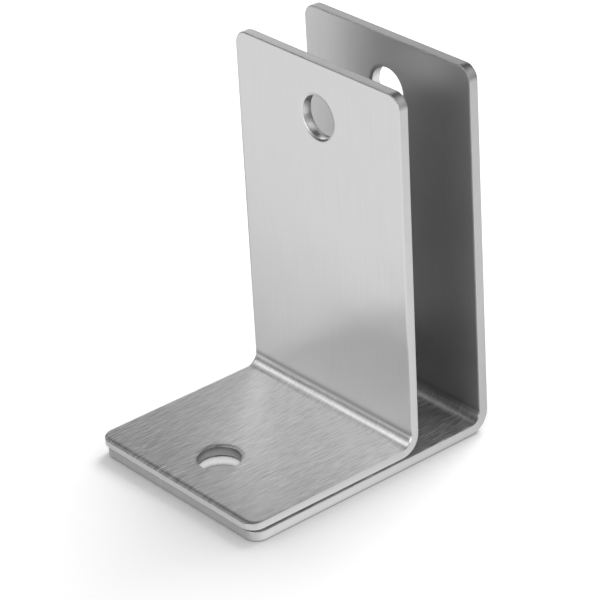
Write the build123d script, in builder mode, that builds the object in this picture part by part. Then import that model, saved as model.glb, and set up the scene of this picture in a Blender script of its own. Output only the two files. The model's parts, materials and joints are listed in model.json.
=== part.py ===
"""Wall bracket made of two folded strips of sheet steel.

The short angle lies on the long angle. Both flanges go against the wall under one screw, and the
two ears stand out from it on either side of a panel, with one bolt through ears and panel.

The origin is on the axis of the wall screw hole, in the face that touches the wall. +Z points away
from the wall along the ears, +X from the flanges' free end to the ears, and +Y across the strips.
"""

import os

from build123d import *

# The strip that both angles are cut from
sheet_thickness = 1.8
strip_width = 38.1
corner_radius = 2.4
bend_inner_radius = 2.0
edge_round = 0.25
shortest_rim_share = 0.25

# The panel that the ears hold
panel_thickness = 12.7
panel_clearance = 0.05

# The holes, for a screw in the flanges and a bolt in the ears
screw_diameter = 6.35
screw_clearance = 0.8
end_to_hole = 9.2

# How far the bracket reaches
ear_height = 63.2
end_to_ear = 32.6
lower_end_setback = 0.5

# Places that follow from the sizes above
bend_outer_radius = bend_inner_radius + sheet_thickness
hole_radius = (screw_diameter + screw_clearance) / 2
panel_gap = panel_thickness + panel_clearance
free_end_x = -end_to_hole
front_ear_x = free_end_x + end_to_ear
rear_ear_x = front_ear_x + sheet_thickness + panel_gap
ear_hole_z = ear_height - end_to_hole


def folded_section(end_x: float, ear_x: float, seat_z: float) -> Sketch:
    """Side view of a folded strip.

    end_x is its flange's free end, ear_x the ear's face inside the fold, and seat_z the height
    that its flange lies at.
    """
    back_x = ear_x + sheet_thickness
    flange_top_z = seat_z + sheet_thickness
    with BuildSketch(Plane.XZ.offset(-strip_width / 2)) as section:
        with BuildLine():
            Polyline(
                (end_x, seat_z),
                (back_x, seat_z),
                (back_x, ear_height),
                (ear_x, ear_height),
                (ear_x, flange_top_z),
                (end_x, flange_top_z),
                close=True,
            )
        make_face()
        inside_corner = section.vertices().sort_by_distance((ear_x, flange_top_z))[0]
        fillet(inside_corner, radius=bend_inner_radius)
        outside_corner = section.vertices().sort_by_distance((back_x, seat_z))[0]
        fillet(outside_corner, radius=bend_outer_radius)
    return section.sketch


def free_corners(angle: BuildPart) -> ShapeList:
    """The sharp corners of the strip's two ends: two on the flange and two on the ear."""
    flange_corners = angle.edges().filter_by(Axis.Z).group_by(Axis.X)[0]
    ear_corners = angle.edges().filter_by(Axis.X).group_by(Axis.Z)[-1]
    return flange_corners + ear_corners


def rim(angle: BuildPart) -> ShapeList:
    """Every edge round the strip's outline, on both of its broad sides."""
    lines = angle.edges().filter_by(GeomType.LINE)
    straight = lines.filter_by(lambda edge: edge.length > strip_width * shortest_rim_share)
    across = straight.filter_by(Axis.Y)
    along = straight.filter_by(Axis.X) + straight.filter_by(Axis.Z)
    ends = across.group_by(Axis.X)[0] + across.group_by(Axis.Z)[-1]
    curved = angle.edges().filter_by(GeomType.CIRCLE)
    return ends + along + curved


# The short angle lies on the long one, so its flange starts one sheet above the wall
with BuildPart() as short_angle:
    extrude(folded_section(free_end_x, front_ear_x, sheet_thickness), amount=strip_width)
    fillet(free_corners(short_angle), radius=corner_radius)
    fillet(rim(short_angle), radius=edge_round)
    with Locations(Plane.XY.offset(ear_height)):
        Hole(hole_radius)
    with Locations(Plane(origin=(free_end_x, 0, ear_hole_z), z_dir=(-1, 0, 0))):
        Hole(hole_radius)
short_angle.part.label = "short_angle"

# The long angle lies against the wall and carries the rear ear
with BuildPart() as long_angle:
    extrude(folded_section(free_end_x + lower_end_setback, rear_ear_x, 0), amount=strip_width)
    fillet(free_corners(long_angle), radius=corner_radius)
    fillet(rim(long_angle), radius=edge_round)
    with Locations(Plane.XY.offset(ear_height)):
        Hole(hole_radius)
    with Locations(Plane(origin=(free_end_x, 0, ear_hole_z), z_dir=(-1, 0, 0))):
        Hole(hole_radius)
long_angle.part.label = "long_angle"

os.makedirs("parts", exist_ok=True)
export_step(short_angle.part, "parts/short_angle.step")
export_step(long_angle.part, "parts/long_angle.step")
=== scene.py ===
"""Looks of a wall bracket: two folded strips of brushed stainless sheet, one lying on the other.

Each strip is made again as it is made in the shop. A flat blank is cut with rounded corners and
two holes, its sheared rims are rolled over, and it is folded once into a flange and an ear. The
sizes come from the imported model. Lengths are worked in millimetres until a mesh is finished.
"""

import json
import logging
import math
from dataclasses import dataclass, field
from enum import Enum
from functools import cache

import bmesh
import bpy
from bmesh.types import BMEdge, BMFace, BMVert
from bpy.types import Material, Node, NodeSocket, NodeTree, Object
from mathutils import Matrix, Vector


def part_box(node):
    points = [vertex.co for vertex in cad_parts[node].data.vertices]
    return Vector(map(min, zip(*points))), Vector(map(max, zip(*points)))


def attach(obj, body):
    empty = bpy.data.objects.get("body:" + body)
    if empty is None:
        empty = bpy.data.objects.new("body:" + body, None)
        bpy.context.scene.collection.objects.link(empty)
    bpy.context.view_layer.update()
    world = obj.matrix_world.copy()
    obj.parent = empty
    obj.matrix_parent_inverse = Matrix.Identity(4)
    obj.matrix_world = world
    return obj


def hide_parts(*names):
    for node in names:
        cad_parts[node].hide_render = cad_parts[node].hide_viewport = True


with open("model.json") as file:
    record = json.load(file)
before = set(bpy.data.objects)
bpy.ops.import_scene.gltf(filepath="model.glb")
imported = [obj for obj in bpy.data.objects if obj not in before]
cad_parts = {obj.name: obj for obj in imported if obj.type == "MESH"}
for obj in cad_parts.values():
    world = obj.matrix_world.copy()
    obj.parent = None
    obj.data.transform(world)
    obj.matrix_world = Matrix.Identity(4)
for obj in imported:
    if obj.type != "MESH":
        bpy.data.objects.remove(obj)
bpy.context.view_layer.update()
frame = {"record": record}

MILLIMETRE = 0.001
BODY = "root"

# Names of what a strip's mesh carries for its finishes, and how many millimetres the map spans
GRAIN_MAP = "grain"
RISE = "rise"
ENDWARDS = "endwards"
MAP_SPAN = 100.0

# Every pattern runs from 0 to 1 about this mean
MEAN = 0.5

log = logging.getLogger("wall_bracket")


def toward(azimuth: float, elevation: float) -> Vector:
    """Finds a direction from its angles.

    Args:
        azimuth: Turn from +Y towards +X, in degrees.
        elevation: Angle above the floor, in degrees.

    Returns:
        The direction, one unit long.
    """
    turn = math.radians(azimuth)
    tilt = math.radians(elevation)
    return Vector((math.sin(turn) * math.cos(tilt), math.cos(turn) * math.cos(tilt), math.sin(tilt)))


class Graph:
    """A node tree, with short calls to add its nodes and join them."""

    def __init__(self, tree: NodeTree) -> None:
        """Works on a tree."""
        self.tree = tree

    def join(self, source: NodeSocket, target: NodeSocket) -> None:
        """Joins an output to an input."""
        self.tree.links.new(source, target)

    def feed(self, target: NodeSocket, value: object) -> None:
        """Joins an output to an input, or sets the input's own value.

        Args:
            target: The input.
            value: An output socket or a plain value.
        """
        if isinstance(value, NodeSocket):
            self.join(value, target)
        else:
            target.default_value = value

    def add(self, kind: str, *terms: object, **values: object) -> Node:
        """Adds a node, and gives it its properties and inputs.

        Args:
            kind: The node's type name, without the leading ShaderNode.
            *terms: Output sockets or plain values for the node's first inputs.
            **values: Properties of the node and more of its inputs, by name.

        Returns:
            The node.
        """
        node = self.tree.nodes.new("ShaderNode" + kind)
        for target, term in zip(node.inputs, terms):
            self.feed(target, term)
        for name, value in values.items():
            if name in node.inputs:
                self.feed(node.inputs[name], value)
            else:
                setattr(node, name, value)
        return node

    def maths(self, operation: str, *terms: object, **values: object) -> NodeSocket:
        """Adds an operation on one, two or three numbers, such as ADD."""
        return self.add("Math", *terms, operation=operation, **values).outputs[0]

    def vector_maths(self, operation: str, *terms: object, **values: object) -> Node:
        """Adds an operation on vectors, such as DOT_PRODUCT."""
        return self.add("VectorMath", *terms, operation=operation, **values)

    def product(self, *factors: NodeSocket) -> NodeSocket:
        """Multiplies two numbers or more by each other."""
        first, *others = factors
        return self.maths("MULTIPLY", first, self.product(*others)) if others else first

    def spread(self, value: NodeSocket, low: float, high: float, *levels: object) -> NodeSocket:
        """Maps a number from a range to the range between two levels, and keeps it inside."""
        return self.add("MapRange", value, low, high, *levels).outputs["Result"]

    def grey(self, value: NodeSocket) -> NodeSocket:
        """Turns a number into a colour with that brightness."""
        return self.add("CombineColor", value, value, value).outputs[0]

    def sharpened(self, pattern: NodeSocket, contrast: NodeSocket) -> NodeSocket:
        """Stretches a pattern about its mean, and keeps it between 0 and 1."""
        off_mean = self.maths("SUBTRACT", pattern, MEAN)
        return self.maths("MULTIPLY_ADD", off_mean, contrast, MEAN, use_clamp=True)

    def effect(self, group: NodeTree, **values: object) -> NodeSocket:
        """Places an effect's node group with its own values, and finds how far it is off its mean."""
        pattern = self.add("Group", node_tree=group, **values).outputs[0]
        return self.maths("SUBTRACT", pattern, MEAN)

    def relief(self, height: NodeSocket, depth: float, **under: NodeSocket) -> NodeSocket:
        """Tilts the shading by a pattern of a depth in metres, on the Normal of a slower relief."""
        return self.add("Bump", Height=height, Distance=depth, **under).outputs["Normal"]


def new_group(
    name: str, inputs: dict[str, float | None], output: str
) -> tuple[Graph, Node, NodeSocket]:
    """Starts the shader group of an effect, with named sockets.

    Args:
        name: Name of the group.
        inputs: Default of each number input by name, or None for a vector.
        output: Name of the number that it puts out.

    Returns:
        The group's graph, its input node, and the socket that takes its result.
    """
    group = bpy.data.node_groups.new(name, "ShaderNodeTree")
    for label, default in inputs.items():
        kind = "NodeSocketVector" if default is None else "NodeSocketFloat"
        socket = group.interface.new_socket(label, in_out="INPUT", socket_type=kind)
        if default is not None:
            socket.default_value = default
    group.interface.new_socket(output, in_out="OUTPUT", socket_type="NodeSocketFloat")
    entry = group.nodes.new("NodeGroupInput")
    leave = group.nodes.new("NodeGroupOutput")
    return Graph(group), entry, leave.inputs[output]


@cache
def streak_group() -> NodeTree:
    """Makes the group for abrasive streaks that run along the strip, the first time it is called.

    Returns:
        A group whose Streak runs from 0 to 1.
    """
    numbers = {"Length": 3.0, "Width": 0.2, "Lean": 0.0, "Offset": 0.0, "Contrast": 1.0}
    graph, entry, result = new_group("abrasive_streaks", {"Place": None, **numbers}, "Streak")
    values = entry.outputs
    parts = graph.add("SeparateXYZ", values["Place"]).outputs
    leaning = graph.maths("MULTIPLY_ADD", parts["X"], values["Lean"], parts["Y"])
    turned = graph.add("CombineXYZ", parts["X"], leaning)
    marks_along = graph.maths("DIVIDE", MAP_SPAN, values["Length"])
    marks_across = graph.maths("DIVIDE", MAP_SPAN, values["Width"])
    stretch = graph.add("CombineXYZ", marks_along, marks_across)
    shift = graph.add("CombineXYZ", values["Offset"], values["Offset"])
    steps = [node.outputs[0] for node in (turned, stretch, shift)]
    moved = graph.vector_maths("MULTIPLY_ADD", *steps).outputs[0]
    settings = {"noise_dimensions": "2D", "Scale": 1.0, "Detail": 3.0, "Roughness": 0.65}
    noise = graph.add("TexNoise", moved, **settings)
    graph.join(graph.sharpened(noise.outputs["Fac"], values["Contrast"]), result)
    return graph.tree


@cache
def haze_group() -> NodeTree:
    """Makes the group for faint clouding on bare metal, the first time it is called.

    Returns:
        A group whose Haze runs from 0 to 1.
    """
    graph, entry, result = new_group("handling_haze", {"Size": 12.0, "Contrast": 1.0}, "Haze")
    place = graph.add("TexCoord").outputs["Object"]
    clouds = graph.maths("DIVIDE", 1 / MILLIMETRE, entry.outputs["Size"])
    noise = graph.add("TexNoise", place, Scale=clouds, Detail=2.0)
    graph.join(graph.sharpened(noise.outputs["Fac"], entry.outputs["Contrast"]), result)
    return graph.tree


def new_material(name: str, **settings: object) -> tuple[Material, Graph, bpy.types.NodeInputs]:
    """Starts a material.

    Args:
        name: Name of the material.
        **settings: Values of its shader that are the same all over, by name, with _ for a space.

    Returns:
        The material, its graph, and the inputs of its shader.
    """
    material = bpy.data.materials.new(name)
    material.use_nodes = True
    shader = material.node_tree.nodes["Principled BSDF"].inputs
    for label, value in settings.items():
        shader[label.replace("_", " ")].default_value = value
    return material, Graph(material.node_tree), shader


@dataclass(frozen=True)
class Streaks:
    """Marks that are laid out on the flat strip, usually as streaks along it.

    Attributes:
        length: Length of a mark along the strip, in millimetres.
        width: Width of a mark across the strip, in millimetres.
        swing: How much the marks change the brightness.
        offset: Which part of the endless pattern is used.
        contrast: How much the marks stand out from each other.
        lean: How far a mark moves across the strip for each millimetre along it.
    """

    length: float
    width: float
    swing: float = 0.0
    offset: float = 0.0
    contrast: float = 1.0
    lean: float = 0.0

    def lay(self, graph: Graph) -> NodeSocket:
        """Lays the marks on the strip.

        Args:
            graph: The material's graph.

        Returns:
            How far the marks are off their mean.
        """
        return graph.effect(
            streak_group(),
            Place=graph.add("UVMap", uv_map=GRAIN_MAP).outputs["UV"],
            Length=self.length,
            Width=self.width,
            Lean=self.lean,
            Offset=self.offset,
            Contrast=self.contrast,
        )


@dataclass(frozen=True)
class Haze:
    """Faint clouding.

    Attributes:
        size: Size of a cloud, in millimetres.
        swing: How much the clouds change the brightness.
        contrast: How much the clouds stand out.
    """

    size: float
    swing: float = 0.0
    contrast: float = 1.0

    def lay(self, graph: Graph) -> NodeSocket:
        """Lays the clouds over the piece, and finds how far they are off their mean."""
        return graph.effect(haze_group(), Size=self.size, Contrast=self.contrast)


@dataclass(frozen=True)
class Ramp:
    """A steady change from one level to another.

    Attributes:
        start: Where the first level still holds.
        end: Where the second level holds.
        first: The first level.
        second: The second level.
    """

    start: float
    end: float
    first: float
    second: float

    def over(self, graph: Graph, place: NodeSocket) -> NodeSocket:
        """Finds the level at each place."""
        return graph.spread(place, self.start, self.end, self.first, self.second)


@dataclass(frozen=True)
class BrushedSheet:
    """Inner skin of the sheet, brushed along the strip: coarse on the flange, fine on the ear.

    Distances are in millimetres, those along the strip from the wall screw's axis.

    Attributes:
        name: Name of the material.
        flange_tone_and_painted_reflection: How much light the flange throws back along the strip. It
        rises towards the fold as a painted reflection of the ear.
        painted_end_shade: Share of that light that is left at the flange's free end, as painted shade
            along its rolled rim.
        ear_brightness: How much light the ear throws back.
        flange_roughness: Roughness of the flange.
        ear_roughness: Roughness of the ear.
        stretch: How much further light is thrown across the grain than along it.
        stretch_turn: Which way that is, in turns from the line along the strip.
        coarse: The flange's streaks.
        band: The broad bands between them.
        fine: The grain of the ear, which the flange has too.
        scratch: The flange's few short scratches.
        scratch_pick: How far from its mean that pattern has to be for a scratch.
        clump: Where the scratches lie close together.
        clump_pick: Share of the scratches that is kept, by how far that pattern is from its mean.
        rubbing: Share of the streaks that is left towards the free corner that was rubbed smooth,
            by the distances along and across the strip added up.
        tool: The bending tool's marks along the fold.
        fold_margin: Share of the fold over which they begin and end.
        crease_shade_swing: How much darker the painted shade line is where the ear begins.
        crease_shade_width: How far that line reaches on either side.
        cloud: Clouding of the whole skin.
        wave: The sheet's own slow waves.
        coarse_scatter: How much the streaks change the roughness.
        cloud_scatter: How much the clouding changes it.
        scratch_scatter: How much rougher the scratches are.
        fine_share: Depth of the fine grain as a share of the coarse grooves' depth.
        groove_depth: Depth of the coarse grooves, in metres.
        wave_depth: Height of the slow waves, in metres.
    """

    name: str
    flange_tone_and_painted_reflection: Ramp = Ramp(-9.0, 19.0, 0.58, 0.89)
    # Painted shade at the flange's rolled free end.
    painted_end_shade: Ramp = Ramp(-8.7, -8.1, 0.75, 1.0)
    ear_brightness: float = 0.635
    flange_roughness: float = 0.5
    ear_roughness: float = 0.3
    stretch: float = 0.6
    stretch_turn: float = 0.25
    coarse: Streaks = Streaks(3.4, 0.36, swing=0.36, offset=3.0, contrast=2.2, lean=-0.03)
    band: Streaks = Streaks(7.0, 1.4, swing=0.12, offset=43.0, contrast=1.8)
    fine: Streaks = Streaks(14.0, 0.09, swing=0.06, offset=7.0, contrast=1.6)
    scratch: Streaks = Streaks(4.6, 0.24, swing=0.45, offset=19.0, lean=0.06)
    scratch_pick: Ramp = Ramp(0.08, 0.14, 0.0, 1.0)
    clump: Streaks = Streaks(9.0, 4.5, offset=71.0, contrast=1.8)
    clump_pick: Ramp = Ramp(-0.05, 0.1, 0.1, 1.0)
    rubbing: Ramp = Ramp(-26.0, -6.0, 0.35, 1.0)
    tool: Streaks = Streaks(0.45, 40.0, swing=0.3, offset=57.0, contrast=2.0)
    fold_margin: float = 0.05
    crease_shade_swing: float = 0.42
    crease_shade_width: float = 0.55
    cloud: Haze = Haze(14.0, swing=0.04)
    wave: Haze = Haze(26.0)
    coarse_scatter: float = 0.1
    cloud_scatter: float = 0.05
    scratch_scatter: float = 0.2
    fine_share: float = 0.4
    groove_depth: float = 3e-6
    wave_depth: float = 5e-4

    def material(self, ear_start: float) -> Material:
        """Makes the material.

        Args:
            ear_start: Where the fold ends and the ear begins, along the strip.

        Returns:
            The material.
        """
        turned = {"Anisotropic": self.stretch, "Anisotropic Rotation": self.stretch_turn}
        material, graph, shader = new_material(self.name, Metallic=1.0, **turned)
        place = graph.add("UVMap", uv_map=GRAIN_MAP).outputs["UV"]
        parts = graph.add("SeparateXYZ", place).outputs
        along = graph.maths("MULTIPLY", parts["X"], MAP_SPAN)
        across = graph.maths("MULTIPLY", parts["Y"], MAP_SPAN)
        rise = graph.add("Attribute", attribute_name=RISE).outputs["Fac"]
        on_flange = graph.maths("SUBTRACT", 1.0, rise)
        unrubbed = self.rubbing.over(graph, graph.maths("ADD", along, across))
        coarse = graph.product(self.coarse.lay(graph), on_flange, unrubbed)
        band = graph.product(self.band.lay(graph), on_flange)
        fine = self.fine.lay(graph)
        picked = self.scratch_pick.over(graph, self.scratch.lay(graph))
        clumped = self.clump_pick.over(graph, self.clump.lay(graph))
        scratches = graph.product(picked, clumped, on_flange, unrubbed)
        inside_fold = graph.maths("MINIMUM", rise, on_flange)
        in_fold = graph.spread(inside_fold, 0.0, self.fold_margin, 0.0, 1.0)
        tool = graph.product(self.tool.lay(graph), in_fold)
        cloud = self.cloud.lay(graph)

        # The flange's level rises towards the fold as a painted reflection of the ear.
        brushed = graph.product(self.flange_tone_and_painted_reflection.over(graph, along), self.painted_end_shade.over(graph, along))
        level = graph.spread(rise, 0.0, 1.0, brushed, self.ear_brightness)
        for pattern, marks in (
            (coarse, self.coarse),
            (band, self.band),
            (fine, self.fine),
            (scratches, self.scratch),
            (tool, self.tool),
            (cloud, self.cloud),
        ):
            level = graph.maths("MULTIPLY_ADD", pattern, marks.swing, level)
        # Painted shade: a dark line across the strip where the fold meets the ear.
        level = graph.product(level, self.crease_shade_share(graph, along, ear_start))
        graph.join(graph.grey(level), shader["Base Color"])

        rough = graph.spread(rise, 0.0, 1.0, self.flange_roughness, self.ear_roughness)
        for pattern, scatter in (
            (coarse, self.coarse_scatter),
            (cloud, self.cloud_scatter),
            (scratches, self.scratch_scatter),
        ):
            rough = graph.maths("MULTIPLY_ADD", pattern, scatter, rough)
        graph.join(rough, shader["Roughness"])

        tangent = graph.add("Tangent", direction_type="UV_MAP", uv_map=GRAIN_MAP)
        graph.join(tangent.outputs[0], shader["Tangent"])
        waves = graph.relief(self.wave.lay(graph), self.wave_depth)
        grooves = graph.maths("MULTIPLY_ADD", fine, self.fine_share, coarse)
        graph.join(graph.relief(grooves, self.groove_depth, Normal=waves), shader["Normal"])
        return material

    def crease_shade_share(self, graph: Graph, along: NodeSocket, ear_start: float) -> NodeSocket:
        """Finds the share of colour left by the painted shade line where the ear begins.

        Args:
            graph: The material's graph.
            along: The place along the strip.
            ear_start: Where the line lies.

        Returns:
            The share at each place.
        """
        off = graph.maths("DIVIDE", graph.maths("SUBTRACT", along, ear_start), self.crease_shade_width)
        squared = graph.maths("POWER", off, 2.0)
        fade = graph.maths("EXPONENT", graph.maths("MULTIPLY", squared, -1.0))
        return graph.maths("MULTIPLY_ADD", fade, -self.crease_shade_swing, 1.0)


@dataclass(frozen=True)
class MillSheet:
    """Outer skin of the sheet, left dull and slightly cloudy as the mill rolled it.

    Attributes:
        brightness: How much light the skin throws back.
        roughness: Roughness of the skin, which is less where the clouds are bright.
        cloud: Clouding of the skin.
        grain: The rolling grain.
    """

    brightness: float = 0.45
    roughness: float = 0.5
    cloud: Haze = Haze(9.0, swing=0.06, contrast=1.2)
    grain: Streaks = Streaks(9.0, 0.12, swing=0.03, offset=31.0, contrast=1.4)

    def material(self) -> Material:
        """Makes the material.

        Returns:
            The material.
        """
        material, graph, shader = new_material("mill_sheet", Metallic=1.0)
        cloud = graph.maths("MULTIPLY", self.cloud.lay(graph), self.cloud.swing)
        level = graph.maths("ADD", cloud, self.brightness)
        level = graph.maths("MULTIPLY_ADD", self.grain.lay(graph), self.grain.swing, level)
        graph.join(graph.grey(level), shader["Base Color"])
        graph.join(graph.maths("SUBTRACT", self.roughness, cloud), shader["Roughness"])
        return material


@dataclass(frozen=True)
class ShearedWall:
    """Cut wall of the sheet, with fine marks across its thickness.

    Attributes:
        name: Name of the material.
        sides: How much light the wall throws back on the flange and on the ear. A level far below
            the other is painted shade.
        ends: The same at the strip's two free ends, or None for the walls of holes. A low level at
            the flange's end is painted shade.
        roughness: Roughness of the wall.
        marks: The marks.
        mark_scatter: How much they change the roughness.
        mark_depth: Depth of the marks, in metres.
        cloud: Clouding of the wall.
    """

    name: str
    sides: tuple[float, float]
    ends: tuple[float, float] | None = None
    roughness: float = 0.46
    marks: Streaks = Streaks(0.25, 0.25, swing=0.08, contrast=1.8)
    mark_scatter: float = 0.1
    mark_depth: float = 4e-6
    cloud: Haze = Haze(3.0, swing=0.05)

    def material(self) -> Material:
        """Makes the material.

        Returns:
            The material.
        """
        material, graph, shader = new_material(self.name, Metallic=1.0)
        rise = graph.add("Attribute", attribute_name=RISE).outputs["Fac"]
        level = graph.spread(rise, 0.0, 1.0, *self.sides)
        if self.ends is not None:
            endwards = graph.add("Attribute", attribute_name=ENDWARDS).outputs["Fac"]
            at_ends = graph.spread(rise, 0.0, 1.0, *self.ends)
            level = graph.spread(endwards, 0.0, 1.0, level, at_ends)
        marks = self.marks.lay(graph)
        level = graph.maths("MULTIPLY_ADD", marks, self.marks.swing, level)
        level = graph.maths("MULTIPLY_ADD", self.cloud.lay(graph), self.cloud.swing, level)
        graph.join(graph.grey(level), shader["Base Color"])
        rough = graph.maths("MULTIPLY_ADD", marks, self.mark_scatter, self.roughness)
        graph.join(rough, shader["Roughness"])
        graph.join(graph.relief(marks, self.mark_depth), shader["Normal"])
        return material


@dataclass(frozen=True)
class Roll:
    """How far the inner skin is drawn down where the sheet was cut, in millimetres.

    Attributes:
        width: How far in from the cut edge it reaches.
        depth: How far the skin drops at the cut edge.
        curve: How much of the drop lies close to the edge. At 1 the skin would slope evenly.
    """

    width: float
    depth: float
    curve: float = 2.3

    def drop(self, inside: float) -> float:
        """How far the skin has dropped at a distance inside the cut edge."""
        left = max(1.0 - max(inside, 0.0) / self.width, 0.0)
        return self.depth * left**self.curve

    def mixed(self, other: "Roll", share: float) -> "Roll":
        """A roll part of the way to another one."""
        width = self.width + (other.width - self.width) * share
        return Roll(width, self.depth + (other.depth - self.depth) * share)


@dataclass(frozen=True)
class NearestCut:
    """The cut edge that is nearest to a point of the flat strip.

    Attributes:
        roll: Rollover of that edge.
        inside: How far inside the edge the point is, in millimetres.
        endwards: 1 where the edge runs across the strip's end, 0 along its sides and at its holes.
        at_hole: Whether the edge is a hole's.
    """

    roll: Roll
    inside: float
    endwards: float
    at_hole: bool


@dataclass(frozen=True)
class StripPlace:
    """Where a point of a folded strip lies on its flat strip.

    Attributes:
        along: Distance along the strip, from the wall screw's axis, in millimetres.
        across: Distance across the strip, from its middle line, in millimetres.
        depth: Height above the strip's outer skin, in millimetres.
        rise: How far round the fold the point is, 0 on the flange and 1 on the ear.
    """

    along: float
    across: float
    depth: float
    rise: float


@dataclass(frozen=True)
class StripKind:
    """What sets one of the two strips apart from the other. Lengths are in millimetres.

    Attributes:
        name: Name of the finished piece.
        node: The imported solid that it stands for.
        fold_degrees: How far its ear is folded up. Springback leaves it a little off square.
        side_roll: Rollover of the inner skin along its sides.
        flange_end_roll: Rollover at its flange's free end.
        rim_lift: How far its flange's outer skin rises towards the rim, most at the free end.
        sheet: Finish of its inner skin.
        rim: Finish of the walls along its outline.
        hole_wall: Finish of the walls of its holes.
    """

    name: str
    node: str
    fold_degrees: float
    side_roll: Roll
    flange_end_roll: Roll
    rim_lift: float
    sheet: BrushedSheet
    rim: ShearedWall
    hole_wall: ShearedWall


class Surface(Enum):
    """Kinds of surface on a strip, numbered as the material slots of its mesh."""

    BRUSHED = 0
    MILL = 1
    RIM = 2
    HOLE_WALL = 3


class Workpiece:
    """A mesh in the making, with the operations that its owners share.

    Attributes:
        SNAP: Vertices nearer than this to a cut lie in it.
    """

    SNAP = 1e-5

    def __init__(self) -> None:
        """Starts with nothing."""
        self.bm = bmesh.new()

    def move(self, way: Vector, verts: list[BMVert]) -> None:
        """Moves vertices."""
        bmesh.ops.translate(self.bm, vec=way, verts=verts)

    def inset(self, skin: list[BMFace], width: float, rings: int = 1) -> None:
        """Lays even rings of faces inside the rims of a skin.

        Args:
            skin: The faces of the skin.
            width: Width of all the rings together.
            rings: How many there are.
        """
        for _ in range(rings):
            bmesh.ops.inset_region(
                self.bm,
                faces=skin,
                use_boundary=True,
                use_even_offset=True,
                thickness=width / rings,
            )

    def round_off(
        self, sharp: list[BMVert] | list[BMEdge], radius: float, steps: int, affect: str
    ) -> None:
        """Rounds sharp corners or edges.

        Args:
            sharp: The vertices or edges.
            radius: Radius of the round.
            steps: How many faces make it up.
            affect: VERTICES or EDGES.
        """
        bmesh.ops.bevel(
            self.bm,
            geom=sharp,
            offset=radius,
            segments=steps,
            profile=0.5,
            affect=affect,
            material=-1,
        )

    def cut(self, point: Vector, normal: Vector) -> list[BMEdge]:
        """Draws a line round the mesh where a plane cuts it.

        Args:
            point: A point in the plane.
            normal: The plane's normal.

        Returns:
            The edges that lie in the cut.
        """
        line = bmesh.ops.bisect_plane(
            self.bm,
            geom=[*self.bm.verts, *self.bm.edges, *self.bm.faces],
            dist=self.SNAP,
            plane_co=point,
            plane_no=normal,
        )
        return [item for item in line["geom_cut"] if isinstance(item, BMEdge)]

    def finish(self, name: str) -> Object:
        """Turns the mesh into an object of the scene.

        Args:
            name: Name of the object.

        Returns:
            The object.
        """
        mesh = bpy.data.meshes.new(name)
        self.bm.to_mesh(mesh)
        self.bm.free()
        piece = bpy.data.objects.new(name, mesh)
        bpy.context.scene.collection.objects.link(piece)
        return piece


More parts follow.
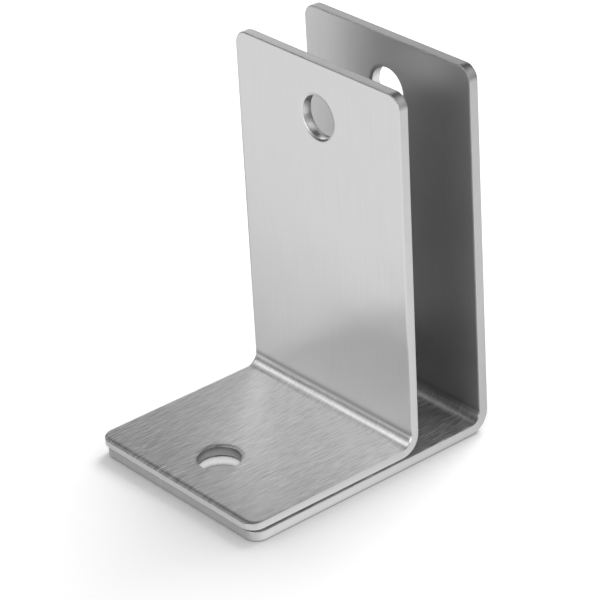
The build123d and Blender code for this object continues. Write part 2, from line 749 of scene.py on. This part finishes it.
@dataclass
class FoldedAngle:
    """A strip of sheet that is punched twice and folded once.

    The flat strip lies with its outer skin down. It is folded up about a line above its inner
    skin, so the flange keeps its place and the ear swings up. Lengths are in millimetres.

    Attributes:
        kind: What sets this strip apart from the other one.
        lowest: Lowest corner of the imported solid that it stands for.
        highest: Highest corner of that solid.
        thickness: Thickness of the sheet.
        flange_hole_x: Where the wall screw's axis crosses the flange.
        ear_hole_z: Height of the panel bolt's axis.
        hole_radius: Radius of both holes.
        bend_inner_radius: Radius inside the fold.
        corner_radius: Radius of the strip's four corners.
        ear_end_roll: Rollover at the ear's free end.
        hole_roll: Rollover at the holes.
        lip_radius: Small round between the rolled skin and the cut wall.
        outer_round: Round of the outer skin's rim along the outline.
        mill_share: Share of that round, from the outer skin up, that looks like the skin.
        hole_round: Round of the outer skin's rim at the holes.
        lift_reach: How far in from the outline the flange's outer skin rises. It has to be less
            than the corners' radius, because the rings that bend follow the outline.
        lift_curve: How much of that rise lies close to the outline.
        tear_share: Share of the sheet that tore instead of being cut, on the outer side.
        tear_taper: How much wider a hole is where it tore out.
        bend_bulge: How far the squeezed metal swells sideways at the fold's inner skin.
        flat_guard: Width of the narrow flat faces inside the rolled rims and on both sides of the
            fold's beginning, which keep the skins' shading flat.
        hole_reach: What is nearer than this to a hole's wall belongs to the hole's rim.
        weld: Points nearer than this are one point where the fold meets the flange and the ear.
        corner_steps: Faces round each corner.
        hole_steps: Faces round each hole.
        lip_rings: Rings of faces that bend into the lip.
        roll_rings: Rings of faces that bend into the rollover.
        lift_rings: Rings of faces that rise with the outer skin's rim.
        outer_round_steps: Faces across the round along the outline.
        hole_round_steps: Faces across the round at the holes.
        bend_steps: Faces round the fold.
        plate: The strip's mesh.
    """

    kind: StripKind
    lowest: Vector
    highest: Vector
    thickness: float
    flange_hole_x: float
    ear_hole_z: float
    hole_radius: float
    bend_inner_radius: float = 2.0
    corner_radius: float = 2.4
    ear_end_roll: Roll = Roll(0.4, 0.06)
    hole_roll: Roll = Roll(0.7, 0.18)
    lip_radius: float = 0.05
    outer_round: float = 0.25
    mill_share: float = 1 / 3
    hole_round: float = 0.05
    lift_reach: float = 2.2
    lift_curve: float = 1.2
    tear_share: float = 0.4
    tear_taper: float = 0.02
    bend_bulge: float = 0.05
    flat_guard: float = 0.4
    hole_reach: float = 0.2
    weld: float = 0.002
    corner_steps: int = 14
    hole_steps: int = 80
    lip_rings: int = 4
    roll_rings: int = 14
    lift_rings: int = 5
    outer_round_steps: int = 5
    hole_round_steps: int = 2
    bend_steps: int = 28
    plate: Workpiece = field(default_factory=Workpiece)

    @property
    def bend_outer_radius(self) -> float:
        """Radius outside the fold."""
        return self.bend_inner_radius + self.thickness

    @property
    def bend_start(self) -> float:
        """Where the flange ends and the fold begins, along the strip."""
        return self.highest.x - self.bend_outer_radius

    @property
    def bend_centre_z(self) -> float:
        """Height of the line that the strip is folded about."""
        return self.lowest.z + self.bend_outer_radius

    @property
    def fold(self) -> float:
        """How far the ear is folded up, in radians."""
        return math.radians(self.kind.fold_degrees)

    @property
    def bend_length(self) -> float:
        """Length of the fold along the middle of the sheet."""
        return (self.bend_inner_radius + self.thickness / 2) * self.fold

    @property
    def ear_start(self) -> float:
        """Where the fold ends and the ear begins, along the strip."""
        return self.bend_start + self.bend_length

    @property
    def flat_end(self) -> float:
        """Where the flat strip ends, with no length given to the fold."""
        radii = (self.bend_inner_radius, self.bend_outer_radius)
        tip = max(-radius * math.cos(self.fold) for radius in radii)
        height = self.highest.z - self.bend_centre_z - tip
        return self.bend_start + height / math.sin(self.fold)

    @property
    def middle(self) -> float:
        """Middle of the flat strip, along it."""
        return (self.flat_end + self.lowest.x) / 2

    @property
    def half_width(self) -> float:
        """Half of the strip's width away from the fold, where nothing swells."""
        return self.highest.y - self.bend_bulge

    @property
    def ring_width(self) -> float:
        """How far in the rings reach that the lip and every rollover are bent from."""
        end_rolls = (self.kind.flange_end_roll, self.ear_end_roll)
        rolls = (self.kind.side_roll, *end_rolls, self.hole_roll)
        return max(roll.width for roll in rolls) + self.lip_radius

    def hole_centres(self) -> tuple[Vector, Vector]:
        """Centres of both holes on the flat strip, flange first."""
        ear_hole_along = self.bend_start + self.ear_hole_z - self.bend_centre_z
        return Vector((self.flange_hole_x, 0, 0)), Vector((ear_hole_along, 0, 0))

    def build(self) -> Object:
        """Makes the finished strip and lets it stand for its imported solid.

        Returns:
            The object, in metres and at its place.
        """
        self.cut_blank()
        skin = self.thicken()
        self.roll_inner_rims(skin)
        self.round_outer_rims()
        self.open_torn_holes()
        self.fold_up()
        self.swell_bend()
        self.sort_surfaces()
        self.lay_grain()
        bm = self.plate.bm
        bmesh.ops.scale(bm, vec=Vector((MILLIMETRE,) * 3), verts=bm.verts)
        piece = self.plate.finish(self.kind.name)
        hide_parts(self.kind.node)
        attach(piece, BODY)
        log.info("%s: %d faces", piece.name, len(piece.data.polygons))
        return piece

    def dress(self, piece: Object, mill: Material) -> None:
        """Gives each kind of surface its finish.

        Args:
            piece: The strip that build made.
            mill: The finish of the outer skin.
        """
        finishes = {
            Surface.BRUSHED: self.kind.sheet.material(self.ear_start),
            Surface.MILL: mill,
            Surface.RIM: self.kind.rim.material(),
            Surface.HOLE_WALL: self.kind.hole_wall.material(),
        }
        for surface in Surface:
            piece.data.materials.append(finishes[surface])

    def cut_blank(self) -> None:
        """Cuts the flat strip with rounded corners and both holes, as one layer of faces."""
        bm = self.plate.bm
        bmesh.ops.create_grid(bm, x_segments=1, y_segments=1, size=0.5)
        sides = Vector((self.flat_end - self.lowest.x, 2 * self.half_width, 1))
        bmesh.ops.scale(bm, vec=sides, verts=bm.verts)
        self.plate.move(Vector((self.middle, 0, 0)), bm.verts[:])
        self.plate.round_off(bm.verts[:], self.corner_radius, self.corner_steps, "VERTICES")
        for centre in self.hole_centres():
            bmesh.ops.create_circle(
                bm,
                segments=self.hole_steps,
                radius=self.hole_radius,
                matrix=Matrix.Translation(centre),
            )
        bmesh.ops.delete(bm, geom=bm.faces[:], context="FACES_ONLY")
        bmesh.ops.triangle_fill(bm, use_beauty=True, edges=bm.edges[:], normal=Vector((0, 0, 1)))

    def thicken(self) -> list[BMFace]:
        """Raises the layer into a plate with upright walls.

        Returns:
            The faces of the inner skin.
        """
        bm = self.plate.bm
        self.plate.move(Vector((0, 0, self.lowest.z)), bm.verts[:])
        raised = bmesh.ops.extrude_face_region(bm, geom=bm.faces[:])["geom"]
        verts = [item for item in raised if isinstance(item, BMVert)]
        self.plate.move(Vector((0, 0, self.thickness)), verts)
        bmesh.ops.recalc_face_normals(bm, faces=bm.faces[:])
        return [item for item in raised if isinstance(item, BMFace)]

    def roll_inner_rims(self, skin: list[BMFace]) -> None:
        """Curves the inner skin down to the cut walls, deepest at the flange's free end.

        Args:
            skin: The faces of the inner skin.
        """
        self.plate.inset(skin, self.lip_radius, self.lip_rings)
        self.plate.inset(skin, self.ring_width - self.lip_radius, self.roll_rings)
        self.plate.inset(skin, self.flat_guard)
        for vert in self.plate.bm.verts:
            if vert.co.z < self.lowest.z + self.thickness - self.weld:
                continue
            cut = self.nearest_cut(vert.co)
            left = max(1.0 - cut.inside / self.lip_radius, 0.0)
            lip = self.lip_radius * (1.0 - math.sqrt(1.0 - left * left))
            vert.co.z -= cut.roll.drop(cut.inside - self.lip_radius) + lip

    def past_hole(self, point: Vector) -> float:
        """How far a point of the flat strip is past the wall of the nearest hole."""
        nearest = min((point.xy - centre.xy).length for centre in self.hole_centres())
        return nearest - self.hole_radius

    def nearest_cut(self, point: Vector) -> NearestCut:
        """Finds the cut edge that is nearest to a point of the flat strip.

        Args:
            point: The point.

        Returns:
            That edge.
        """
        past_x = abs(point.x - self.middle) - (self.flat_end - self.middle - self.corner_radius)
        past_y = abs(point.y) - (self.half_width - self.corner_radius)
        if past_x > 0 and past_y > 0:
            reach = math.hypot(past_x, past_y)
            endwards = (past_x / reach) ** 2
        else:
            reach = max(past_x, past_y)
            endwards = 1.0 if past_x > past_y else 0.0
        to_outline = self.corner_radius - reach
        to_hole = self.past_hole(point)
        if to_hole < to_outline:
            return NearestCut(self.hole_roll, max(to_hole, 0.0), 0.0, True)
        end_roll = self.ear_end_roll if point.x > self.middle else self.kind.flange_end_roll
        roll = self.kind.side_roll.mixed(end_roll, endwards)
        return NearestCut(roll, max(to_outline, 0.0), endwards, False)

    def round_outer_rims(self) -> None:
        """Rounds the outer skin into the walls, least at the holes, after its rim is lifted."""
        bm = self.plate.bm
        skin = [face for face in bm.faces if self.looks_down(face)]
        self.plate.inset(skin, self.lift_reach, self.lift_rings)
        self.lift_flange_rim()
        rims = [edge for edge in bm.edges if sum(map(self.looks_down, edge.link_faces)) == 1]
        at_holes = [edge for edge in rims if self.past_hole(edge.verts[0].co) < self.hole_reach]
        outline = [edge for edge in rims if self.past_hole(edge.verts[0].co) >= self.hole_reach]
        self.plate.round_off(outline, self.outer_round, self.outer_round_steps, "EDGES")
        self.plate.round_off(at_holes, self.hole_round, self.hole_round_steps, "EDGES")

    @staticmethod
    def looks_down(face: BMFace) -> bool:
        """Whether a face of the flat plate looks down more than sideways."""
        return face.normal.z < -face.normal.xy.length

    def lift_flange_rim(self) -> None:
        """Raises the outer skin towards the flange's rim, as a sheared sheet is a little bowed."""
        for vert in self.plate.bm.verts:
            cut = self.nearest_cut(vert.co)
            if cut.at_hole or vert.co.z > self.lowest.z + self.weld:
                continue
            near = max(1.0 - cut.inside / self.lift_reach, 0.0)
            outwards = (self.bend_start - vert.co.x) / (self.bend_start - self.lowest.x)
            rise = near**self.lift_curve * min(max(outwards, 0.0), 1.0)
            vert.co.z += self.kind.rim_lift * rise

    def open_torn_holes(self) -> None:
        """Widens each hole a little where the punch tore the sheet out."""
        bm = self.plate.bm
        tear_line = self.lowest.z + self.tear_share * self.thickness
        self.plate.cut(Vector((0, 0, tear_line)), Vector((0, 0, 1)))
        spread = 1 + self.tear_taper / self.hole_radius
        low = [vert for vert in bm.verts if vert.co.z < tear_line - self.lip_radius]
        for centre in self.hole_centres():
            reach = self.hole_radius + self.hole_reach
            torn = [vert for vert in low if (vert.co.xy - centre.xy).length < reach]
            bmesh.ops.scale(
                bm,
                vec=Vector((spread, spread, 1)),
                space=Matrix.Translation(-centre),
                verts=torn,
            )

    def is_past_bend(self, face: BMFace) -> bool:
        """Whether a face of the flat plate belongs to the ear."""
        return face.calc_center_median().x > self.bend_start

    def fold_up(self) -> None:
        """Cuts the plate where the fold begins, swings the ear up and spins the fold between."""
        bm = self.plate.bm
        along = Vector((1, 0, 0))
        for side in (-self.flat_guard, self.flat_guard):
            self.plate.cut(Vector((self.bend_start + side, 0, 0)), along)
        seam = self.plate.cut(Vector((self.bend_start, 0, 0)), along)
        bmesh.ops.split_edges(bm, edges=seam)
        ear = [vert for vert in bm.verts if self.is_past_bend(vert.link_faces[0])]
        open_edges = [edge for edge in bm.edges if edge.is_boundary]
        flange_seam = [edge for edge in open_edges if not self.is_past_bend(edge.link_faces[0])]
        seam_verts = {vert for edge in flange_seam for vert in edge.verts}
        hinge = Vector((self.bend_start, 0, self.bend_centre_z))
        swing = Matrix.Rotation(-self.fold, 3, "Y")
        bmesh.ops.rotate(bm, cent=hinge, matrix=swing, verts=ear)
        bmesh.ops.spin(
            bm,
            geom=[*seam_verts, *flange_seam],
            cent=hinge,
            axis=Vector((0, 1, 0)),
            angle=-self.fold,
            steps=self.bend_steps,
        )
        bmesh.ops.remove_doubles(bm, verts=bm.verts[:], dist=self.weld)
        bmesh.ops.recalc_face_normals(bm, faces=bm.faces[:])

    def place_of(self, point: Vector) -> StripPlace:
        """Finds where a point of the folded strip lies on the flat strip.

        Args:
            point: The point, in millimetres.

        Returns:
            Its place on the flat strip.
        """
        away = Vector((point.x - self.bend_start, point.z - self.bend_centre_z))
        if away.x <= 0:
            return StripPlace(point.x, point.y, point.z - self.lowest.z, 0.0)
        rise = math.atan2(away.x, -away.y) / self.fold
        if rise <= 1:
            along = self.bend_start + rise * self.bend_length
            return StripPlace(along, point.y, self.bend_outer_radius - away.length, rise)
        flat = Matrix.Rotation(-self.fold, 2) @ away
        return StripPlace(self.ear_start + flat.x, point.y, self.bend_outer_radius + flat.y, 1.0)

    def flat_point(self, place: StripPlace) -> Vector:
        """Finds a place again on the flat strip that has no length given to the fold.

        Args:
            place: Its place on the strip as it really is.

        Returns:
            The point, at no height.
        """
        if place.rise < 1:
            return Vector((min(place.along, self.bend_start), place.across, 0))
        return Vector((place.along - self.bend_length, place.across, 0))

    def swell_bend(self) -> None:
        """Swells the sides of the fold at its inner skin, and draws them in at its outer skin."""
        for vert in self.plate.bm.verts:
            place = self.place_of(vert.co)
            side = abs(place.across) - self.half_width + self.ring_width
            if side <= 0 or not 0 < place.rise < 1:
                continue
            hold = math.sin(place.rise * math.pi) ** 2 * min(side / self.ring_width, 1.0)
            squeeze = 2 * place.depth / self.thickness - 1
            vert.co.y += math.copysign(hold * squeeze * self.bend_bulge, place.across)

    def sort_surfaces(self) -> None:
        """Marks each face as a skin, sheared rim or punched wall, and shades it smooth."""
        for face in self.plate.bm.faces:
            place = self.place_of(face.calc_center_median())
            flat_point = self.flat_point(place)
            at_hole = self.past_hole(flat_point) < self.hole_reach
            wall_bottom = self.hole_round if at_hole else self.outer_round * self.mill_share
            roll = self.nearest_cut(flat_point).roll
            if place.depth > self.thickness - roll.depth - self.lip_radius:
                surface = Surface.BRUSHED
            elif place.depth < wall_bottom:
                surface = Surface.MILL
            elif at_hole:
                surface = Surface.HOLE_WALL
            else:
                surface = Surface.RIM
            face.material_index = surface.value
            face.smooth = True

    def lay_grain(self) -> None:
        """Stores where each point lay on the flat strip, so that the grain runs on through the fold."""
        layers = self.plate.bm.verts.layers.float
        grain = self.plate.bm.loops.layers.uv.new(GRAIN_MAP)
        rise = layers.new(RISE)
        endwards = layers.new(ENDWARDS)
        for vert in self.plate.bm.verts:
            place = self.place_of(vert.co)
            vert[rise] = place.rise
            vert[endwards] = self.nearest_cut(self.flat_point(place)).endwards
            for loop in vert.link_loops:
                loop[grain].uv = (place.along / MAP_SPAN, place.across / MAP_SPAN)


class WallBracket:
    """The two angles of the bracket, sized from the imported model."""

    KINDS = (
        StripKind(
            name="upper_angle",
            node="short_angle",
            fold_degrees=89.8,
            side_roll=Roll(0.45, 0.08),
            flange_end_roll=Roll(0.9, 0.28),
            rim_lift=0.36,
            sheet=BrushedSheet("upper_brushed"),
            # The flange's end wall is set darker than the ear's: painted shade.
            rim=ShearedWall("upper_rim", sides=(0.66, 0.67), ends=(0.48, 0.7)),
            # The flange hole's wall is set far darker than the ear hole's: painted shade inside the
            # hole.
            hole_wall=ShearedWall(
                "upper_hole_wall",
                sides=(0.25, 0.85),
                roughness=0.36,
                marks=Streaks(0.3, 0.3, swing=0.05, contrast=1.8),
                mark_depth=3e-6,
            ),
        ),
        StripKind(
            name="lower_angle",
            node="long_angle",
            fold_degrees=90.2,
            side_roll=Roll(0.4, 0.07),
            flange_end_roll=Roll(0.4, 0.06),
            rim_lift=0.0,
            sheet=BrushedSheet(
                "lower_brushed",
                flange_tone_and_painted_reflection=Ramp(-9.0, 19.0, 0.58, 0.59),
                ear_brightness=0.63,
                ear_roughness=0.42,
                crease_shade_swing=0.15,
            ),
            # The flange's end wall is set much darker: painted shadow under the upper angle's
            # overhanging end.
            rim=ShearedWall("lower_rim", sides=(0.68, 0.6), ends=(0.32, 0.62)),
            hole_wall=ShearedWall(
                "lower_hole_wall",
                sides=(0.74, 0.8),
                roughness=0.4,
                marks=Streaks(0.3, 0.3, swing=0.1, contrast=1.8),
                mark_depth=6e-6,
            ),
        ),
    )

    def __init__(self) -> None:
        """Reads the sizes of both angles."""
        mounts = {mount["name"]: mount for mount in frame["record"]["mounts"]}
        screw = mounts["wall_screw_hole"]
        bolt = mounts["panel_bolt_hole"]
        lowest_of_all = min(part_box(kind.node)[0].z for kind in self.KINDS)
        highest_seat = max(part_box(kind.node)[0].z for kind in self.KINDS)
        self.angles = []
        for kind in self.KINDS:
            lowest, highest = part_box(kind.node)
            angle = FoldedAngle(
                kind=kind,
                lowest=lowest / MILLIMETRE,
                highest=highest / MILLIMETRE,
                thickness=(highest_seat - lowest_of_all) / MILLIMETRE,
                flange_hole_x=screw["pos_m"][0] / MILLIMETRE,
                ear_hole_z=bolt["pos_m"][2] / MILLIMETRE,
                hole_radius=screw["dims"]["r_mm"],
            )
            self.angles.append(angle)

    def build(self) -> None:
        """Makes both angles and gives them their finishes."""
        mill = MillSheet().material()
        for angle in self.angles:
            angle.dress(angle.build(), mill)


@dataclass(frozen=True)
class Viewpoint:
    """Where the photograph was taken from. Angles are in degrees, lengths in metres.

    Attributes:
        aim: The point that the view is centred on.
        distance: From the camera to that point.
        azimuth: Direction of the camera from the bracket, from +Y towards +X.
        elevation: Above the horizon.
        roll: Turn of the camera about its own axis.
        lens: Focal length, in millimetres.
        sensor_width: Width of the sensor, in millimetres.
    """

    aim: Vector = Vector((0.015342, -0.003386, 0.026829))
    distance: float = 0.465384
    azimuth: float = 218.854
    elevation: float = 28.39
    roll: float = -3.416
    lens: float = 180.785
    sensor_width: float = 36.0

    def place_camera(self) -> None:
        """Makes the scene's camera."""
        back = toward(self.azimuth, self.elevation)
        data = bpy.data.cameras.new("camera")
        data.lens = self.lens
        data.sensor_width = self.sensor_width
        data.clip_start = 0.01
        data.clip_end = 20.0
        camera = bpy.data.objects.new("camera", data)
        upright = (-back).to_track_quat("-Z", "Y").to_matrix()
        rolled = upright @ Matrix.Rotation(math.radians(self.roll), 3, "Z")
        camera.matrix_world = Matrix.Translation(self.aim + back * self.distance) @ rolled.to_4x4()
        bpy.context.scene.collection.objects.link(camera)
        bpy.context.scene.camera = camera


@dataclass(frozen=True)
class SoftBox:
    """A square studio lamp that faces the bracket.

    Attributes:
        name: Name of the lamp.
        azimuth: Direction of the lamp from the bracket, in degrees from +Y towards +X.
        elevation: Height of the lamp as an angle above the floor, in degrees.
        distance: From the bracket to the lamp, in metres.
        side: Length of its sides, in metres.
        radiance: How bright its face is, where 1 is white.
    """

    name: str
    azimuth: float
    elevation: float
    distance: float
    side: float
    radiance: float

    def place(self, aim: Vector) -> None:
        """Hangs the lamp, so that it lights the floor and the metal doesn't show it.

        Args:
            aim: The point that it faces.
        """
        way = toward(self.azimuth, self.elevation)
        data = bpy.data.lights.new(self.name, "AREA")
        data.size = self.side
        data.energy = self.radiance * math.pi * self.side**2
        lamp = bpy.data.objects.new(self.name, data)
        facing = way.to_track_quat("Z", "Y").to_matrix().to_4x4()
        lamp.matrix_world = Matrix.Translation(aim + way * self.distance) @ facing
        lamp.visible_camera = False
        lamp.visible_glossy = False
        bpy.context.scene.collection.objects.link(lamp)


@dataclass(frozen=True)
class SkyGlow:
    """A soft patch of the studio's walls that the metal shows.

    Attributes:
        name: What it stands for.
        azimuth: Direction of its middle, in degrees from +Y towards +X.
        elevation: Height of its middle above the floor, in degrees.
        sharpness: How quickly it fades away from its middle.
        level: Brightness of its middle, where 1 is white.
    """

    name: str
    azimuth: float
    elevation: float
    sharpness: float
    level: float

    def brightness(self, graph: Graph, direction: NodeSocket) -> NodeSocket:
        """Works out how bright the glow is in each direction.

        Args:
            graph: The world's graph.
            direction: The direction that is looked in.

        Returns:
            The brightness.
        """
        middle = toward(self.azimuth, self.elevation)
        facing = graph.vector_maths("DOT_PRODUCT", direction, middle, label=self.name)
        near = graph.maths("MAXIMUM", facing.outputs["Value"], 0.0)
        return graph.maths("MULTIPLY", graph.maths("POWER", near, self.sharpness), self.level)


@dataclass(frozen=True)
class FloorShade:
    """A soft-edged part of the floor that the metal sees darker than the rest.

    Attributes:
        centre: Its middle, in metres.
        reach: How far it reaches along each axis, in metres.
        depth: How much white it takes away at its middle.
    """

    centre: Vector
    reach: Vector
    depth: float

    def darken(self, graph: Graph, place: NodeSocket, white: float) -> NodeSocket:
        """Takes the shade away from the white that the metal sees.

        Args:
            graph: The floor's graph.
            place: The place on the floor.
            white: The white that the metal would see without it.

        Returns:
            The white that is left at each place.
        """
        offset = graph.vector_maths("SUBTRACT", place, self.centre).outputs[0]
        share = graph.vector_maths("DIVIDE", offset, self.reach).outputs[0]
        away = graph.vector_maths("DOT_PRODUCT", share, share).outputs["Value"]
        fade = graph.maths("EXPONENT", graph.maths("MULTIPLY", away, -1.0))
        left = graph.maths("MULTIPLY_ADD", fade, -self.depth, white)
        return graph.maths("MAXIMUM", left, 0.0)


@dataclass(frozen=True)
class Studio:
    """The floor, the surrounding light and the lamp.

    Attributes:
        floor_radius: Radius of the floor, in metres.
        floor_gap: How far below the bracket the floor lies, so that the two never meet.
        floor_colour: How much light the floor throws back.
        floor_lift: White that the floor shows the camera on top of its own light.
        floor_shine: White that the floor shows to the metal.
        floor_steps: Corners of the floor's outline.
        contact_reach: How near to the bracket the white that the camera sees fades, as a painted
            contact shadow.
        shine_reach: How near to the bracket the white that the metal sees fades, as painted shade under
            it.
        room_level: Brightness of the room that lights the floor.
        aim: The point that the lamp faces, above the floor's middle.
        key: The lamp that casts the shadow on the floor.
        glows: The patches of the walls that the metal shows.
        shade: The part of the floor that the metal sees darker.
    """

    floor_radius: float = 0.45
    floor_gap: float = 0.00003
    floor_colour: float = 0.8
    floor_lift: float = 0.48
    floor_shine: float = 1.1
    floor_steps: int = 96
    contact_reach: float = 0.012
    shine_reach: float = 0.0007
    room_level: float = 0.3
    aim: Vector = Vector((0.015, 0.0, 0.025))
    key: SoftBox = SoftBox("key_box", 78.0, 50.0, 0.9, side=0.46, radiance=9.4)
    glows: tuple[SkyGlow, ...] = (
        SkyGlow("window_on_the_left", 264.0, 11.0, sharpness=21.0, level=4.5),
        SkyGlow("top_of_the_window", 312.0, 45.0, sharpness=26.0, level=3.0),
        SkyGlow("room_behind_the_camera", 177.0, 14.0, sharpness=4.0, level=0.5),
        SkyGlow("wall_on_the_right", 31.0, 22.0, sharpness=20.0, level=1.55),
        SkyGlow("lamp_over_the_window", 350.0, 46.0, sharpness=50.0, level=0.9),
        SkyGlow("lamp_on_the_right", 130.0, 40.0, sharpness=14.0, level=1.0),
    )
    shade: FloorShade = FloorShade(Vector((0.066, 0.11, 0)), Vector((0.045, 0.09, 1)), 2.8)

    def build(self) -> None:
        """Sets up everything around the bracket."""
        self.lay_floor()
        self.light_world()
        self.key.place(self.aim)
        bpy.context.scene.view_settings.view_transform = "Standard"
        log.info("studio: floor, world with %d glows and one lamp", len(self.glows))

    def lay_floor(self) -> None:
        """Lays a round white floor under the bracket."""
        disc = Workpiece()
        bmesh.ops.create_circle(
            disc.bm, cap_ends=True, segments=self.floor_steps, radius=self.floor_radius
        )
        disc.move(Vector((self.aim.x, self.aim.y, -self.floor_gap)), disc.bm.verts[:])
        floor = disc.finish("floor")
        floor.data.materials.append(self.floor_material())

    def floor_material(self) -> Material:
        """Makes plain white paper that keeps the lamp's shadow of the bracket, and whose own white
        fades near the bracket as a painted contact shadow.

        Returns:
            The material.
        """
        plain = {"Roughness": 0.9, "Specular IOR Level": 0.0, "Emission Color": (1, 1, 1, 1)}
        material, graph, shader = new_material("floor_paper", **plain)
        path = graph.add("LightPath")
        glossy = path.outputs["Is Glossy Ray"]
        tone = graph.spread(glossy, 0.0, 1.0, self.floor_colour, 0.0)
        graph.join(graph.grey(tone), shader["Base Color"])
        place = graph.add("TexCoord").outputs["Object"]
        shine = graph.maths("MULTIPLY", self.shade.darken(graph, place, self.floor_shine), glossy)
        white = graph.maths("MULTIPLY_ADD", path.outputs["Is Camera Ray"], self.floor_lift, shine)
        reach = graph.spread(glossy, 0.0, 1.0, self.contact_reach, self.shine_reach)
        # Painted contact shadow: the floor's own white fades by ambient occlusion near the bracket.
        sky = graph.add("AmbientOcclusion", samples=8, Distance=reach)
        white_faded_by_occlusion = graph.maths("MULTIPLY", white, sky.outputs["AO"])
        graph.join(white_faded_by_occlusion, shader["Emission Strength"])
        return material

    def light_world(self) -> None:
        """Surrounds the bracket with soft grey light, and shows the camera white."""
        world = bpy.data.worlds.new("studio")
        world.use_nodes = True
        bpy.context.scene.world = world
        graph = Graph(world.node_tree)
        direction = graph.add("TexCoord").outputs["Generated"]
        shown = 0.0
        for glow in self.glows:
            shown = graph.maths("ADD", glow.brightness(graph, direction), shown)
        path = graph.add("LightPath")
        level = graph.spread(path.outputs["Is Glossy Ray"], 0.0, 1.0, self.room_level, shown)
        surround = world.node_tree.nodes["Background"]
        graph.join(graph.grey(level), surround.inputs["Color"])
        white = graph.add("Background", Color=(1, 1, 1, 1))
        sources = (path.outputs["Is Camera Ray"], surround.outputs[0], white.outputs[0])
        choose = graph.add("MixShader", *sources)
        output = world.node_tree.nodes["World Output"]
        graph.join(choose.outputs[0], output.inputs["Surface"])


def main() -> None:
    """Builds the camera, the studio and the bracket."""
    logging.basicConfig(level=logging.INFO, format="%(message)s")
    Viewpoint().place_camera()
    Studio().build()
    WallBracket().build()


if __name__ == "__main__":
    main()
